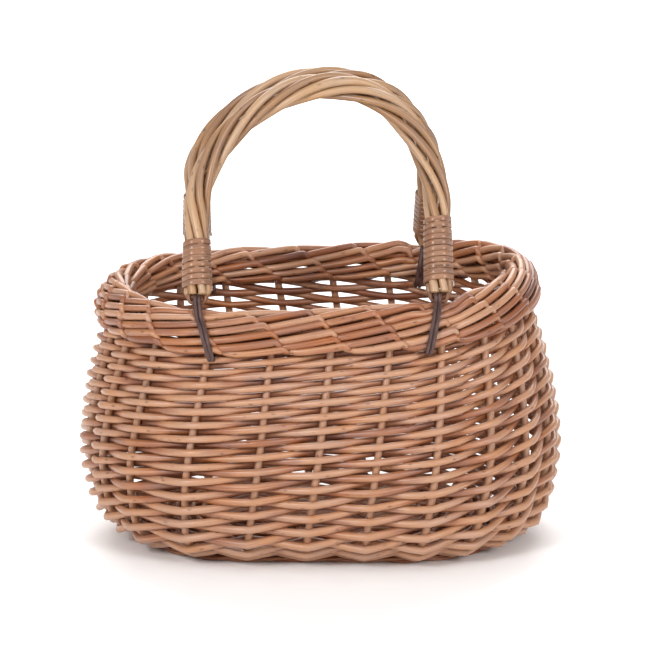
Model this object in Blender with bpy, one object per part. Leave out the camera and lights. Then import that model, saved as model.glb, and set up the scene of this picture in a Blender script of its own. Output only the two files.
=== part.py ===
# Oval willow shopping basket with two swing handles.
# Units are metres, +Z is up, the origin is on the floor under the middle of the basket.
# The front is towards -Y, and the basket is longest along X.
import math

import bmesh
import bpy
from mathutils import Matrix, Vector

mm = 0.001

# Oval plan: two half circles joined by straight runs along X.
# Every ring of the basket is an offset of one oval, named by its reach from the middle run.
HALF_RUN = 60.0 * mm

# Upright stakes
STAKE_COUNT = 23
STAKE_RADIUS = 2.6 * mm
STAKE_BUNCHING_SHARE = 0.05
CLEARANCE = 0.3 * mm

# How finely curves are drawn
SMOOTH_STEPS = 12
SECTION_STEPS = 48
WEAVER_SIDES = 4
ROD_SIDES = 6
STICK_SIDES = 8
MERGE_DISTANCE = 0.03 * mm

# Rolled border: rods side by side round a hollow section that is open below for the stakes
BORDER_REACH, BORDER_HEIGHT = 105.0 * mm, 192.0 * mm
BORDER_HALF_WIDTH = 10.5 * mm
BORDER_HALF_HEIGHT = 14.0 * mm
BORDER_LEAN = 5.0 * mm
BORDER_ROD_RADIUS = 3.3 * mm
BORDER_ROW_COUNT = 8
BORDER_FROM_DEG = -55.0
BORDER_TO_DEG = 222.0

# Mid-line of the wall: reach and height of its points, from the base edge to the border.
# The neck and the waist follow the border down the wall.
INNER_REACH, INNER_HEIGHT = 68.0 * mm, 13.2 * mm
FOOT_REACH, FOOT_HEIGHT = 87.0 * mm, 9.2 * mm
SHOULDER_REACH, SHOULDER_HEIGHT = 109.5 * mm, 24.0 * mm
HIP_REACH, HIP_HEIGHT = 118.0 * mm, 48.0 * mm
BELLY_REACH, BELLY_HEIGHT = 122.0 * mm, 80.0 * mm
NECK_DROP = 23.0 * mm
NECK_FLARE = 1.5 * mm
WAIST_DROP = 39.0 * mm
NECK_REACH, NECK_HEIGHT = BORDER_REACH + NECK_FLARE, BORDER_HEIGHT - NECK_DROP
WAIST_REACH, WAIST_HEIGHT = 117.0 * mm, NECK_HEIGHT - WAIST_DROP
FOOT_RUNS = 3
RISE_RUNS = 7
# Border rows, counted from outside below, that a stake's end passes under
STAKE_END_ROWS = (1.2, 2.6)

# A hand-woven rim is not level: it rises to one end and to the back
RIM_END_RISE = 7.0 * mm
RIM_BACK_RISE = 2.6 * mm

# Weavers
ROW_GAP = 0.4 * mm
WEAVER_RODS = 4
WEAVER_ROUNDS = 6.5
WEAVER_ROWS = WEAVER_RODS * WEAVER_ROUNDS
TOP_PITCH_SHARE = 0.62
BUTT_GAP = 2.4 * mm
WALE_ROUNDS = 3
WALE_RADIUS = 3.1 * mm
FOOT_RADIUS = 3.2 * mm
FOOT_FLAT = 0.5 * mm
EDGE_ROUNDS = 2
EDGE_RADIUS = 2.3 * mm

# Base: a slath of pierced cross sticks with two long sticks through them
SLATH_HEIGHT = 15.0 * mm
STICK_REACH = 66.0 * mm
CROSS_RADIUS = 3.6 * mm
CROSS_COUNT = 4
CROSS_SPACING = 34.0 * mm
LONG_WIDTH = 5.0 * mm
LONG_THICKNESS = 2.6 * mm
BASE_WEAVER_RADIUS = 2.2 * mm
BASE_ROW_GAP = 0.6 * mm
BASE_ROUNDS = 4
BASE_START_REACH = 18.0 * mm

# Handles: six rods twisted round a hollow core. The front legs are longer, because the rim is
# lower in front and the arches meet at one height.
LEG_BEYOND = 34.0 * mm
LEG_HALF_SPACING = HALF_RUN + LEG_BEYOND
LEG_LENGTH = {"front_handle": 80.8 * mm, "back_handle": 77.4 * mm}
PIVOT_INSET = 7.0 * mm
PIVOT_RISE = 23.0 * mm
PIVOT_REACH, PIVOT_HEIGHT = BORDER_REACH - PIVOT_INSET, BORDER_HEIGHT + PIVOT_RISE
APEX_HALF_GAP = 10.9 * mm
APEX_DRIFT = 7.0 * mm
ARCH_RISE = 98.0 * mm
HANDLE_RODS = 6
HANDLE_RING = 7.2 * mm
HANDLE_ROD_RADIUS = 3.25 * mm
HANDLE_HALF_TURNS = 4
HANDLE_POINTS = 26
EYE_CORNER_SHARE = 0.33
FOOT_ROOM = 2.1 * mm

# Leather thongs: where each leaves the border's section outside and inside, as shares of it,
# and how far across the wall it turns, as a share of the way
THONG_WIDTH = 6.5 * mm
THONG_THICKNESS = 2.5 * mm
THONG_SLACK = 0.6 * mm
THONG_INNER_SLACK = 2.4 * mm
THONG_SLOT_BEYOND = 20.0 * mm
THONG_SLOT_X = HALF_RUN + THONG_SLOT_BEYOND
THONG_SLOT_RISE = 6.3 * mm
THONG_BENDS = 4
THONG_OUTER_SHARES = (0.03, 0.13, 0.22, 0.31, 0.40)
THONG_INNER_SHARES = (0.62, 0.72, 0.82, 0.92, 0.99)
THONG_SLOT_SHARES = (0.1, 0.9)

# Whippings of split willow round the feet of the handles
WHIP_WIDTH = 4.6 * mm
WHIP_THICKNESS = 1.2 * mm
WHIP_PITCH = 5.2 * mm
WHIP_START = 9.0 * mm
WHIP_SIDES = 8
WHIP_CHECKS = 4
WHIP_LENGTHS = {"front_left": 41.6 * mm, "front_right": 57.2 * mm,
                "back_left": 46.8 * mm, "back_right": 46.8 * mm}


# Materials
def make_material(name, colour, roughness):
    material = bpy.data.materials.new(name)
    material.use_nodes = True
    shader = material.node_tree.nodes["Principled BSDF"]
    shader.inputs["Base Color"].default_value = (*colour, 1.0)
    shader.inputs["Roughness"].default_value = roughness
    shader.inputs["Metallic"].default_value = 0.0
    return material


def buff_willow(name, shade):
    return make_material(name, (0.50 * shade, 0.27 * shade, 0.13 * shade), 0.55)


def split_willow(name):
    return make_material(name, (0.46, 0.27, 0.15), 0.45)


def brown_leather(name):
    return make_material(name, (0.07, 0.035, 0.03), 0.6)


# Collections
def new_collection(name):
    collection = bpy.data.collections.new(name)
    bpy.context.scene.collection.children.link(collection)
    return collection


def link_guide(obj):
    guides.objects.link(obj)
    obj.hide_render = True
    obj.display_type = "WIRE"


# Plan geometry
def oval_length(reach):
    return 4.0 * HALF_RUN + 2.0 * math.pi * reach


def stake_share(step):
    """Share of the way round the oval, from the middle of the front towards +X."""
    turn = step / STAKE_COUNT
    return turn + STAKE_BUNCHING_SHARE * math.sin(4.0 * math.pi * turn) / (4.0 * math.pi)


def plan_frame(step):
    """Point of the middle run and outward direction at a stake number, whole or not."""
    way = (stake_share(step) % 1.0) * oval_length(BELLY_REACH)
    arc = math.pi * BELLY_REACH
    if way <= HALF_RUN:
        return Vector((way, 0.0)), Vector((0.0, -1.0))
    way -= HALF_RUN
    if way <= arc:
        angle = way / BELLY_REACH
        return Vector((HALF_RUN, 0.0)), Vector((math.sin(angle), -math.cos(angle)))
    way -= arc
    if way <= 2.0 * HALF_RUN:
        return Vector((HALF_RUN - way, 0.0)), Vector((0.0, 1.0))
    way -= 2.0 * HALF_RUN
    if way <= arc:
        angle = way / BELLY_REACH
        return Vector((-HALF_RUN, 0.0)), Vector((-math.sin(angle), math.cos(angle)))
    return Vector((way - arc - HALF_RUN, 0.0)), Vector((0.0, -1.0))


def rim_lift(x, y, z):
    """How far the uneven rim lifts or drops a point of the wall."""
    along = x / (HALF_RUN + BELLY_REACH)
    across = y / BELLY_REACH
    return (RIM_END_RISE * along ** 3 + RIM_BACK_RISE * across) * (z / PIVOT_HEIGHT) ** 2


def ring_point(step, reach, height):
    middle, outward = plan_frame(step)
    flat = middle + outward * reach
    return Vector((flat.x, flat.y, height + rim_lift(flat.x, flat.y, height)))


# Smooth paths in the wall's section: reach is x, height is y
def smooth_path(points):
    """Catmull-Rom curve through 2-D points."""
    ends = [points[0] * 2.0 - points[1]] + points + [points[-1] * 2.0 - points[-2]]
    path = []
    for a, b, c, d in zip(ends, ends[1:], ends[2:], ends[3:]):
        for k in range(SMOOTH_STEPS):
            t = k / SMOOTH_STEPS
            path.append(0.5 * (2.0 * b + (c - a) * t + (2.0 * a - 5.0 * b + 4.0 * c - d) * t * t
                               + (3.0 * b - a - 3.0 * c + d) * t ** 3))
    return path + [points[-1]]


class Path:
    """A 2-D path that is read by the length along it."""

    def __init__(self, points):
        self.points = points
        self.marks = [0.0]
        self.sides = []
        for a, b in zip(points, points[1:]):
            self.marks.append(self.marks[-1] + (b - a).length)
            along = (b - a).normalized()
            self.sides.append(Vector((along.y, -along.x)))
        self.length = self.marks[-1]
        before = [self.sides[0]] + self.sides
        after = self.sides + [self.sides[-1]]
        self.corners = [(u + v).normalized() for u, v in zip(before, after)]

    def at(self, way):
        """A point and its mitred normal: one offset keeps one distance from every run."""
        way = min(max(way, 0.0), self.length)
        k = 0
        while k < len(self.marks) - 2 and self.marks[k + 1] < way:
            k += 1
        share = (way - self.marks[k]) / (self.marks[k + 1] - self.marks[k])
        normal = self.corners[k].lerp(self.corners[k + 1], share).normalized()
        point = self.points[k].lerp(self.points[k + 1], share)
        return point, normal / normal.dot(self.sides[k])

    def way_to_height(self, height):
        for a, b, mark in zip(self.points, self.points[1:], self.marks):
            if a.y <= height < b.y:
                return mark + (b - a).length * (height - a.y) / (b.y - a.y)
        return self.length


def border_section():
    """Mid-line of the border's rods, from outside below, over the crest, to inside below."""
    points = []
    for k in range(SECTION_STEPS + 1):
        turned = (BORDER_TO_DEG - BORDER_FROM_DEG) * k / SECTION_STEPS
        angle = math.radians(BORDER_FROM_DEG + turned)
        reach = BORDER_REACH + BORDER_HALF_WIDTH * math.cos(angle) - BORDER_LEAN * math.sin(angle)
        points.append(Vector((reach, BORDER_HEIGHT + BORDER_HALF_HEIGHT * math.sin(angle))))
    return Path(points)


def wall_section():
    """Mid-line of a stake: the wall's profile, then up inside the border's outer rods."""
    points = [Vector(pair) for pair in (
        (INNER_REACH, INNER_HEIGHT), (FOOT_REACH, FOOT_HEIGHT),
        (SHOULDER_REACH, SHOULDER_HEIGHT), (HIP_REACH, HIP_HEIGHT),
        (BELLY_REACH, BELLY_HEIGHT), (WAIST_REACH, WAIST_HEIGHT), (NECK_REACH, NECK_HEIGHT))]
    inside = BORDER_ROD_RADIUS + STAKE_RADIUS + CLEARANCE
    pitch = BORDER.length / BORDER_ROW_COUNT
    for row in STAKE_END_ROWS:
        point, normal = BORDER.at(pitch * row)
        points.append(point - normal * inside)
    smooth = Path(smooth_path(points))
    foot = min(zip(smooth.points, smooth.marks), key=lambda pair: pair[0].y)[1]
    shoulder = smooth.way_to_height(SHOULDER_HEIGHT)
    ways = [0.0] + [foot + (shoulder - foot) * k / FOOT_RUNS for k in range(FOOT_RUNS)]
    ways += [shoulder + (smooth.length - shoulder) * k / RISE_RUNS for k in range(RISE_RUNS + 1)]
    return Path([smooth.at(way)[0] for way in ways])


# Curves with a bevel
def tube(name, points, radius, material, widths=None, cyclic=False, sides=ROD_SIDES):
    """A round rod; a bevel resolution of n gives it four and two n sides."""
    curve = bpy.data.curves.new(name, "CURVE")
    curve.dimensions = "3D"
    curve.bevel_depth = radius
    curve.bevel_resolution = (sides - WEAVER_SIDES) // 2
    curve.use_fill_caps = True
    spline = curve.splines.new("POLY")
    spline.points.add(len(points) - 1)
    for k, point in enumerate(points):
        spline.points[k].co = (*point, 1.0)
        if widths:
            spline.points[k].radius = widths[k] / radius
    spline.use_cyclic_u = cyclic
    obj = bpy.data.objects.new(name, curve)
    obj.data.materials.append(material)
    parts.objects.link(obj)
    return obj


def strip(name, points, width, thickness, material, cyclic=False):
    """A flat band: a curve with a rectangle for its section, its width along local Z."""
    outline = bpy.data.curves.new(name + "_section", "CURVE")
    outline.dimensions = "2D"
    corners = outline.splines.new("POLY")
    corners.points.add(3)
    for k, (u, v) in enumerate(((1, 1), (1, -1), (-1, -1), (-1, 1))):
        corners.points[k].co = (u * thickness / 2.0, v * width / 2.0, 0.0, 1.0)
    corners.use_cyclic_u = True
    section = bpy.data.objects.new(name + "_section", outline)
    link_guide(section)
    curve = bpy.data.curves.new(name, "CURVE")
    curve.dimensions = "3D"
    curve.twist_mode = "Z_UP"
    curve.bevel_mode = "OBJECT"
    curve.bevel_object = section
    curve.use_fill_caps = not cyclic
    spline = curve.splines.new("POLY")
    spline.points.add(len(points) - 1)
    for k, point in enumerate(points):
        spline.points[k].co = (*point, 1.0)
    spline.use_cyclic_u = cyclic
    obj = bpy.data.objects.new(name, curve)
    obj.data.materials.append(material)
    parts.objects.link(obj)
    return obj


def as_mesh(obj):
    """Turn a curve object into a closed mesh object of the same name."""
    name = obj.name
    bpy.context.view_layer.update()
    graph = bpy.context.evaluated_depsgraph_get()
    mesh = bpy.data.meshes.new_from_object(obj.evaluated_get(graph))
    work = bmesh.new()
    work.from_mesh(mesh)
    bmesh.ops.remove_doubles(work, verts=work.verts, dist=MERGE_DISTANCE)
    work.to_mesh(mesh)
    work.free()
    placed = obj.matrix_world.copy()
    bpy.data.objects.remove(obj)
    solid = bpy.data.objects.new(name, mesh)
    solid.matrix_world = placed
    parts.objects.link(solid)
    return solid


def box_cutter(name, middle, size):
    bpy.ops.mesh.primitive_cube_add(size=1.0, location=middle)
    cutter = bpy.context.object
    cutter.name = name
    cutter.scale = size
    bpy.ops.object.transform_apply(location=False, rotation=False, scale=True)
    for collection in list(cutter.users_collection):
        collection.objects.unlink(cutter)
    link_guide(cutter)
    return cutter


def cut(obj, cutter):
    modifier = obj.modifiers.new("cut", "BOOLEAN")
    modifier.operation = "DIFFERENCE"
    modifier.solver = "EXACT"
    modifier.object = cutter


# Weaving
def crossing_offset(radius, other, spacing):
    """How far a rod's mid-line keeps from a stake's, so that its slanting runs clear it too."""
    apart = radius + other + CLEARANCE
    return apart / math.sqrt(1.0 - (2.0 * apart / spacing) ** 2)


def woven_point(step, way, radius, side):
    point, normal = WALL.at(way)
    spacing = (ring_point(step + 0.5, point.x, point.y)
               - ring_point(step - 0.5, point.x, point.y)).length
    shifted = point + normal * (side * crossing_offset(STAKE_RADIUS, radius, spacing))
    return ring_point(step, shifted.x, shifted.y)


def butted(points, start=True, end=True):
    """Draw the ends of a rod back, so that it meets the next rod without touching it."""
    points = list(points)
    if start:
        points[0] = points[0] + (points[1] - points[0]).normalized() * (BUTT_GAP / 2.0)
    if end:
        points[-1] = points[-1] + (points[-2] - points[-1]).normalized() * (BUTT_GAP / 2.0)
    return points


def row_way(row):
    """Way along the wall to a weaver row, whole or not; the pitch shrinks upwards."""
    return WEAVE_START + LOW_PITCH * row * (1.0 - (1.0 - TOP_PITCH_SHARE) * row
                                            / (2.0 * WEAVER_ROWS))


def row_radius(row):
    pitch = LOW_PITCH * (1.0 - (1.0 - TOP_PITCH_SHARE) * row / WEAVER_ROWS)
    return (pitch - ROW_GAP) / 2.0


def make_stakes():
    """Each stake starts in the base edge, turns up, and ends inside the border."""
    for stake in range(STAKE_COUNT):
        points = [ring_point(stake, point.x, point.y) for point in WALL.points]
        tube(f"stake_{stake + 1:02d}", points, STAKE_RADIUS, materials["stake"],
             sides=WEAVER_SIDES)


def make_weavers():
    per_rod = round(WEAVER_ROUNDS * STAKE_COUNT)
    first = 0
    for rod in range(WEAVER_RODS):
        points = []
        widths = []
        for step in range(first, first + per_rod + 1):
            row = step / STAKE_COUNT
            radius = row_radius(row)
            side = 1.0 if step % 2 else -1.0
            points.append(woven_point(step, row_way(row), radius, side))
            widths.append(radius)
        tube(f"weaver_{rod + 1}", butted(points), widths[0], materials["weaver"],
             widths=widths, sides=WEAVER_SIDES)
        first += per_rod


def make_wale():
    """The wale passes outside two stakes and inside the third."""
    points = []
    for step in range(WALE_ROUNDS * STAKE_COUNT):
        way = WALE_START + (2.0 * WALE_RADIUS + ROW_GAP) * step / STAKE_COUNT
        side = -1.0 if step % 3 == 0 else 1.0
        points.append(woven_point(step, way, WALE_RADIUS, side))
    tube("wale_rod", points, WALE_RADIUS, materials["wale"], sides=WEAVER_SIDES)


def make_edge_weaver():
    points = []
    for step in range(EDGE_ROUNDS * STAKE_COUNT):
        way = EDGE_START + (2.0 * EDGE_RADIUS + ROW_GAP) * step / STAKE_COUNT
        side = 1.0 if step % 2 else -1.0
        points.append(woven_point(step, way, EDGE_RADIUS, side))
    tube("base_edge_weaver", points, EDGE_RADIUS, materials["weaver"], sides=WEAVER_SIDES)


def make_foot():
    """The lowest rod, under all the stakes, cut flat where the basket stands."""
    height = FOOT_RADIUS - FOOT_FLAT
    points = []
    for step in range(STAKE_COUNT):
        middle, outward = plan_frame(step)
        flat = middle + outward * FOOT_REACH
        points.append(Vector((flat.x, flat.y, height)))
    ring = as_mesh(tube("foot_rod", points, FOOT_RADIUS, materials["wale"], cyclic=True))
    length = 2.0 * (HALF_RUN + BELLY_REACH)
    cutter = box_cutter("floor_cutter", (0.0, 0.0, -FOOT_RADIUS),
                        (length, 2.0 * BELLY_REACH, 2.0 * FOOT_RADIUS))
    cut(ring, cutter)


def make_border():
    per_rod = BORDER_ROW_COUNT // 2 * STAKE_COUNT
    for rod, name in enumerate(("border_outer_rod", "border_inner_rod")):
        points = []
        for step in range(rod * per_rod, (rod + 1) * per_rod + 1):
            point, _ = BORDER.at(BORDER.length * step / (BORDER_ROW_COUNT * STAKE_COUNT))
            points.append(ring_point(step, point.x, point.y))
        tube(name, butted(points), BORDER_ROD_RADIUS, materials["border"])


# Base
def cross_places():
    """Where the cross sticks lie along X."""
    return [CROSS_SPACING * (k - (CROSS_COUNT - 1) / 2.0) for k in range(CROSS_COUNT)]


def base_weaver_round(reach_at, first_side):
    """Stations round the slath: over one stick, under the next, level at the corners."""
    lift = crossing_offset(CROSS_RADIUS, BASE_WEAVER_RADIUS, CROSS_SPACING)
    stations = [("end", 1.0), ("corner", (1.0, 1.0))]
    stations += [("side", (x, 1.0)) for x in reversed(cross_places())]
    stations += [("corner", (-1.0, 1.0)), ("end", -1.0), ("corner", (-1.0, -1.0))]
    stations += [("side", (x, -1.0)) for x in cross_places()]
    stations += [("corner", (1.0, -1.0))]
    points = []
    side = first_side
    for turn in range(BASE_ROUNDS):
        for k, (kind, place) in enumerate(stations):
            reach = reach_at(turn + k / len(stations))
            if kind == "corner":
                x = place[0] * (HALF_RUN + reach * math.sqrt(0.5))
                points.append(Vector((x, place[1] * reach * math.sqrt(0.5), SLATH_HEIGHT)))
                continue
            if kind == "end":
                flat = (place * (HALF_RUN + reach), 0.0)
            else:
                flat = (place[0], place[1] * reach)
            points.append(Vector((*flat, SLATH_HEIGHT + side * lift)))
            side = -side
    return points


def make_base():
    slot = box_cutter("slath_slot_cutter", (0.0, 0.0, SLATH_HEIGHT),
                      (CROSS_COUNT * CROSS_SPACING, 2.0 * LONG_WIDTH + 3.0 * CLEARANCE,
                       LONG_THICKNESS + 2.0 * CLEARANCE))
    for k, x in enumerate(cross_places()):
        ends = [Vector((x, -STICK_REACH, SLATH_HEIGHT)), Vector((x, STICK_REACH, SLATH_HEIGHT))]
        stick = as_mesh(tube(f"base_cross_stick_{k + 1}", ends, CROSS_RADIUS,
                             materials["stick"], sides=STICK_SIDES))
        cut(stick, slot)
    for side, name in ((-1.0, "base_long_stick_front"), (1.0, "base_long_stick_back")):
        y = side * (LONG_WIDTH + CLEARANCE) / 2.0
        reach = HALF_RUN + STICK_REACH
        strip(name, [Vector((-reach, y, SLATH_HEIGHT)), Vector((reach, y, SLATH_HEIGHT))],
              LONG_THICKNESS, LONG_WIDTH, materials["stick"])
    pitch = 2.0 * (2.0 * BASE_WEAVER_RADIUS + BASE_ROW_GAP)
    for k, name in enumerate(("base_weaver_a", "base_weaver_b")):
        start = BASE_START_REACH + k * pitch / 2.0
        points = base_weaver_round(lambda turn: start + pitch * turn, 1.0 - 2.0 * k)
        tube(name, points, BASE_WEAVER_RADIUS, materials["weaver"], sides=WEAVER_SIDES)


# Handles
class Handle:
    """One handle: side is -1 in front and 1 behind; it leans in until it meets the other."""

    def __init__(self, name, side):
        self.name = name
        self.side = side
        pivot_y = side * math.sqrt(PIVOT_REACH ** 2 - LEG_BEYOND ** 2)
        rise = RIM_BACK_RISE * pivot_y / BELLY_REACH
        self.pivot = Vector((0.0, pivot_y, PIVOT_HEIGHT + rise))
        self.leg = LEG_LENGTH[name]
        lean = side * APEX_HALF_GAP - pivot_y
        height = math.sqrt((self.leg + ARCH_RISE) ** 2 - lean ** 2)
        self.up = Vector((0.0, lean, height)).normalized()
        self.across = Vector((1.0, 0.0, 0.0))
        self.normal = self.across.cross(self.up)
        self.root = bpy.data.objects.new(name + "_pivot", None)
        self.root.location = self.pivot
        parts.objects.link(self.root)

    def local(self, x, h, v=0.0):
        """A point in the handle's own plane, measured from its pivot."""
        return self.across * x + self.up * h + self.normal * v

    def attach(self, obj):
        obj.parent = self.root

    def centre(self, share, foot):
        """Mid-line of the bundle from the left foot to the right, and its outward normal."""
        arc = math.pi * (LEG_HALF_SPACING + ARCH_RISE) / 2.0
        straight = self.leg - foot
        way = share * (2.0 * straight + arc)
        if way <= straight:
            x, h, out = -LEG_HALF_SPACING, foot + way, Vector((-1.0, 0.0))
        elif way >= straight + arc:
            x, h, out = LEG_HALF_SPACING, self.leg - (way - straight - arc), Vector((1.0, 0.0))
        else:
            angle = math.pi * (1.0 - (way - straight) / arc)
            x = LEG_HALF_SPACING * math.cos(angle)
            h = self.leg + ARCH_RISE * math.sin(angle)
            out = Vector((math.cos(angle) / LEG_HALF_SPACING, math.sin(angle) / ARCH_RISE))
            out.normalize()
        drift = APEX_DRIFT * (max(0.0, h - self.leg) / ARCH_RISE) ** 2
        return x + drift, h, out

    def rod(self, index, foot):
        points = []
        for k in range(HANDLE_POINTS):
            share = k / (HANDLE_POINTS - 1)
            x, h, out = self.centre(share, foot)
            angle = 2.0 * math.pi * (index - share) / HANDLE_RODS - math.pi * HANDLE_HALF_TURNS * share
            across = HANDLE_RING * math.cos(angle)
            points.append(self.local(x + out.x * across, h + out.y * across,
                                     HANDLE_RING * math.sin(angle)))
        return points

    def eye(self, foot_x, way):
        """The bend under a foot, on the hinge axis; way is 1 from its left rod to its right."""
        corner = HANDLE_RING * EYE_CORNER_SHARE
        inner = 1.0 - EYE_CORNER_SHARE
        return [self.local(foot_x + way * HANDLE_RING * share, h) for share, h in
                ((-1.0, corner), (-inner, 0.0), (inner, 0.0), (1.0, corner))]


def make_handle(name, side):
    handle = Handle(name, side)
    foot = HANDLE_ROD_RADIUS + CLEARANCE + THONG_THICKNESS + FOOT_ROOM
    half = HANDLE_RODS // 2
    rods = [handle.rod(index, foot) for index in range(HANDLE_RODS)]
    left_bend = rods[0][::-1] + handle.eye(-LEG_HALF_SPACING, 1.0) + rods[half]
    way = 1.0 if HANDLE_HALF_TURNS % 2 else -1.0
    right_bend = rods[1] + handle.eye(LEG_HALF_SPACING, way) + rods[1 + half][::-1]
    bundle = {"doubled_rod_left": left_bend, "doubled_rod_right": right_bend,
              "rod_1": rods[2], "rod_2": rods[2 + half]}
    for label, points in bundle.items():
        handle.attach(tube(f"{name}_{label}", points, HANDLE_ROD_RADIUS, materials["handle"]))
    for foot_name, sign in (("left", -1.0), ("right", 1.0)):
        make_whipping(handle, foot_name, sign)
    return handle


def least_gap(points):
    """Least gap between turns of a flat winding, from points on both edges of its strip."""
    fine = []
    for a, b in zip(points, points[1:]):
        fine += [a.lerp(b, k / WHIP_CHECKS) for k in range(WHIP_CHECKS)]
    edge = Vector((0.0, 0.0, WHIP_WIDTH / 2.0))
    half_turn = WHIP_SIDES * WHIP_CHECKS // 2
    return min(((fine[b] - edge) - (fine[a] + edge)).length
               for a in range(len(fine) - half_turn)
               for b in range(a + half_turn, min(a + 3 * half_turn, len(fine))))


def make_whipping(handle, foot_name, sign):
    """Flat turns wound round the foot in one unbroken strip."""
    place = f"{handle.name.split('_')[0]}_{foot_name}"
    inner = HANDLE_RING + HANDLE_ROD_RADIUS + CLEARANCE
    radius = (inner + WHIP_THICKNESS / 2.0) / math.cos(math.pi / WHIP_SIDES)
    turns = round(WHIP_LENGTHS[place] / WHIP_PITCH)
    points = []
    for k in range(turns * WHIP_SIDES + 1):
        angle = 2.0 * math.pi * k / WHIP_SIDES
        points.append(Vector((radius * math.cos(angle), radius * math.sin(angle),
                              WHIP_PITCH * k / WHIP_SIDES)))
    print(place, "whipping least gap mm", round(least_gap(points) / mm, 2))
    whipping = strip(f"{place}_whipping", points, WHIP_WIDTH, WHIP_THICKNESS,
                     materials["whipping"])
    handle.attach(whipping)
    whipping.location = handle.local(sign * LEG_HALF_SPACING, WHIP_START + WHIP_WIDTH / 2.0)
    whipping.rotation_euler = handle.up.to_track_quat("Z", "X").to_euler()


def make_thong(handle, foot_name, sign):
    """A closed leather loop through the wall, round the border and over the eye."""
    name = f"{handle.name.split('_')[0]}_{foot_name}_thong"
    clear = BORDER_ROD_RADIUS + THONG_THICKNESS / 2.0 + CLEARANCE + THONG_SLACK
    slot_height = NECK_HEIGHT + THONG_SLOT_RISE
    outside = [BORDER.at(BORDER.length * share) for share in THONG_OUTER_SHARES]
    inside = [BORDER.at(BORDER.length * share) for share in THONG_INNER_SHARES]
    wrap = (HANDLE_ROD_RADIUS + CLEARANCE + THONG_THICKNESS / 2.0) / math.cos(
        math.pi / (2.0 * THONG_BENDS))
    loop = []

    def add(reach, height):
        share = (height - slot_height) / (handle.pivot.z - slot_height)
        x = THONG_SLOT_X + (LEG_HALF_SPACING - THONG_SLOT_X) * min(max(share, 0.0), 1.0)
        beyond = max(x - HALF_RUN, 0.0)
        y = handle.side * math.sqrt(reach ** 2 - beyond ** 2)
        loop.append(Vector((y, height + rim_lift(sign * x, y, height), sign * x)))

    for point, normal in outside:
        place = point + normal * clear
        add(place.x, place.y)
    for bend in range(THONG_BENDS + 1):
        angle = math.pi * bend / THONG_BENDS
        loop.append(Vector((handle.pivot.y + handle.side * wrap * math.cos(angle),
                            handle.pivot.z + wrap * math.sin(angle), sign * LEG_HALF_SPACING)))
    for point, normal in inside:
        place = point + normal * (clear + THONG_INNER_SLACK)
        add(place.x, place.y)
    inner = inside[-1][0].x
    outer = outside[0][0].x
    for share in THONG_SLOT_SHARES:
        add(inner + (outer - inner) * share, slot_height)
    thong = strip(name, loop, THONG_WIDTH, THONG_THICKNESS, materials["thong"], cyclic=True)
    thong.rotation_euler = TURNED.to_euler()


for old in list(bpy.data.objects):
    bpy.data.objects.remove(old)

# Turns a piece drawn in its own X and Y to stand in the world's Y and Z
TURNED = Matrix(((0.0, 0.0, 1.0), (1.0, 0.0, 0.0), (0.0, 1.0, 0.0)))

parts = new_collection("wicker_shopping_basket")
guides = new_collection("cutters_and_sections")
materials = {
    "stake": buff_willow("stake_willow", 1.0),
    "weaver": buff_willow("weaver_willow", 0.95),
    "wale": buff_willow("wale_willow", 0.85),
    "border": buff_willow("border_willow", 0.9),
    "stick": buff_willow("base_stick_willow", 0.8),
    "handle": buff_willow("handle_willow", 1.1),
    "whipping": split_willow("whipping_split_willow"),
    "thong": brown_leather("thong_leather"),
}

BORDER = border_section()
WALL = wall_section()
FOOT_WAY = WALL.marks[1]
WALE_START = FOOT_WAY + FOOT_RADIUS + WALE_RADIUS + ROW_GAP
WEAVE_START = WALE_START + WALE_ROUNDS * (2.0 * WALE_RADIUS + ROW_GAP) + ROW_GAP
WEAVE_LENGTH = WALL.way_to_height(NECK_HEIGHT) - WEAVE_START
LOW_PITCH = 2.0 * WEAVE_LENGTH / (WEAVER_ROWS * (1.0 + TOP_PITCH_SHARE))
EDGE_START = (FOOT_WAY - FOOT_RADIUS - EDGE_RADIUS - ROW_GAP
              - EDGE_ROUNDS * (2.0 * EDGE_RADIUS + ROW_GAP))

make_stakes()
make_foot()
make_edge_weaver()
make_wale()
make_weavers()
make_border()
make_base()
for handle_name, handle_side in (("front_handle", -1.0), ("back_handle", 1.0)):
    built = make_handle(handle_name, handle_side)
    for foot_label, foot_sign in (("left", -1.0), ("right", 1.0)):
        make_thong(built, foot_label, foot_sign)

print("wall length mm", round(WALL.length / mm, 1), "lowest weaver pitch mm",
      round(LOW_PITCH / mm, 2))
print("border row pitch mm", round(BORDER.length / BORDER_ROW_COUNT / mm, 2))
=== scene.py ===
import math
import random

import bpy
import numpy as np
from mathutils import Matrix, Vector


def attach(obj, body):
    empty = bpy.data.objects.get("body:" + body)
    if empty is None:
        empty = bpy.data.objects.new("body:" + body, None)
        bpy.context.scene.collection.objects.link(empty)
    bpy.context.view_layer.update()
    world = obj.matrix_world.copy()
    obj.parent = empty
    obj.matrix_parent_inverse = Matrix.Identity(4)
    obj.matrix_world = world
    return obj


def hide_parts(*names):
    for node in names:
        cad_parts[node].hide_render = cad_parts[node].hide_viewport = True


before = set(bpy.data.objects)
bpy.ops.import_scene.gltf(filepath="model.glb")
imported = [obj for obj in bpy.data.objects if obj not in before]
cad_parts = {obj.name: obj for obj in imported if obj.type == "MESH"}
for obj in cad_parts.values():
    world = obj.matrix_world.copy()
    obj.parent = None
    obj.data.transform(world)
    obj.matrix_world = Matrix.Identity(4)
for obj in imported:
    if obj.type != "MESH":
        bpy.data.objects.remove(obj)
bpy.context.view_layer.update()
mm = 0.001
print("frame loaded:", len(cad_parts), "solids")

# The oval that every ring of the basket follows, as the part has it
oval = {"halfRun": 60 * mm, "evenReach": 122 * mm, "stakes": 23, "bunching": 0.05}
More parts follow.
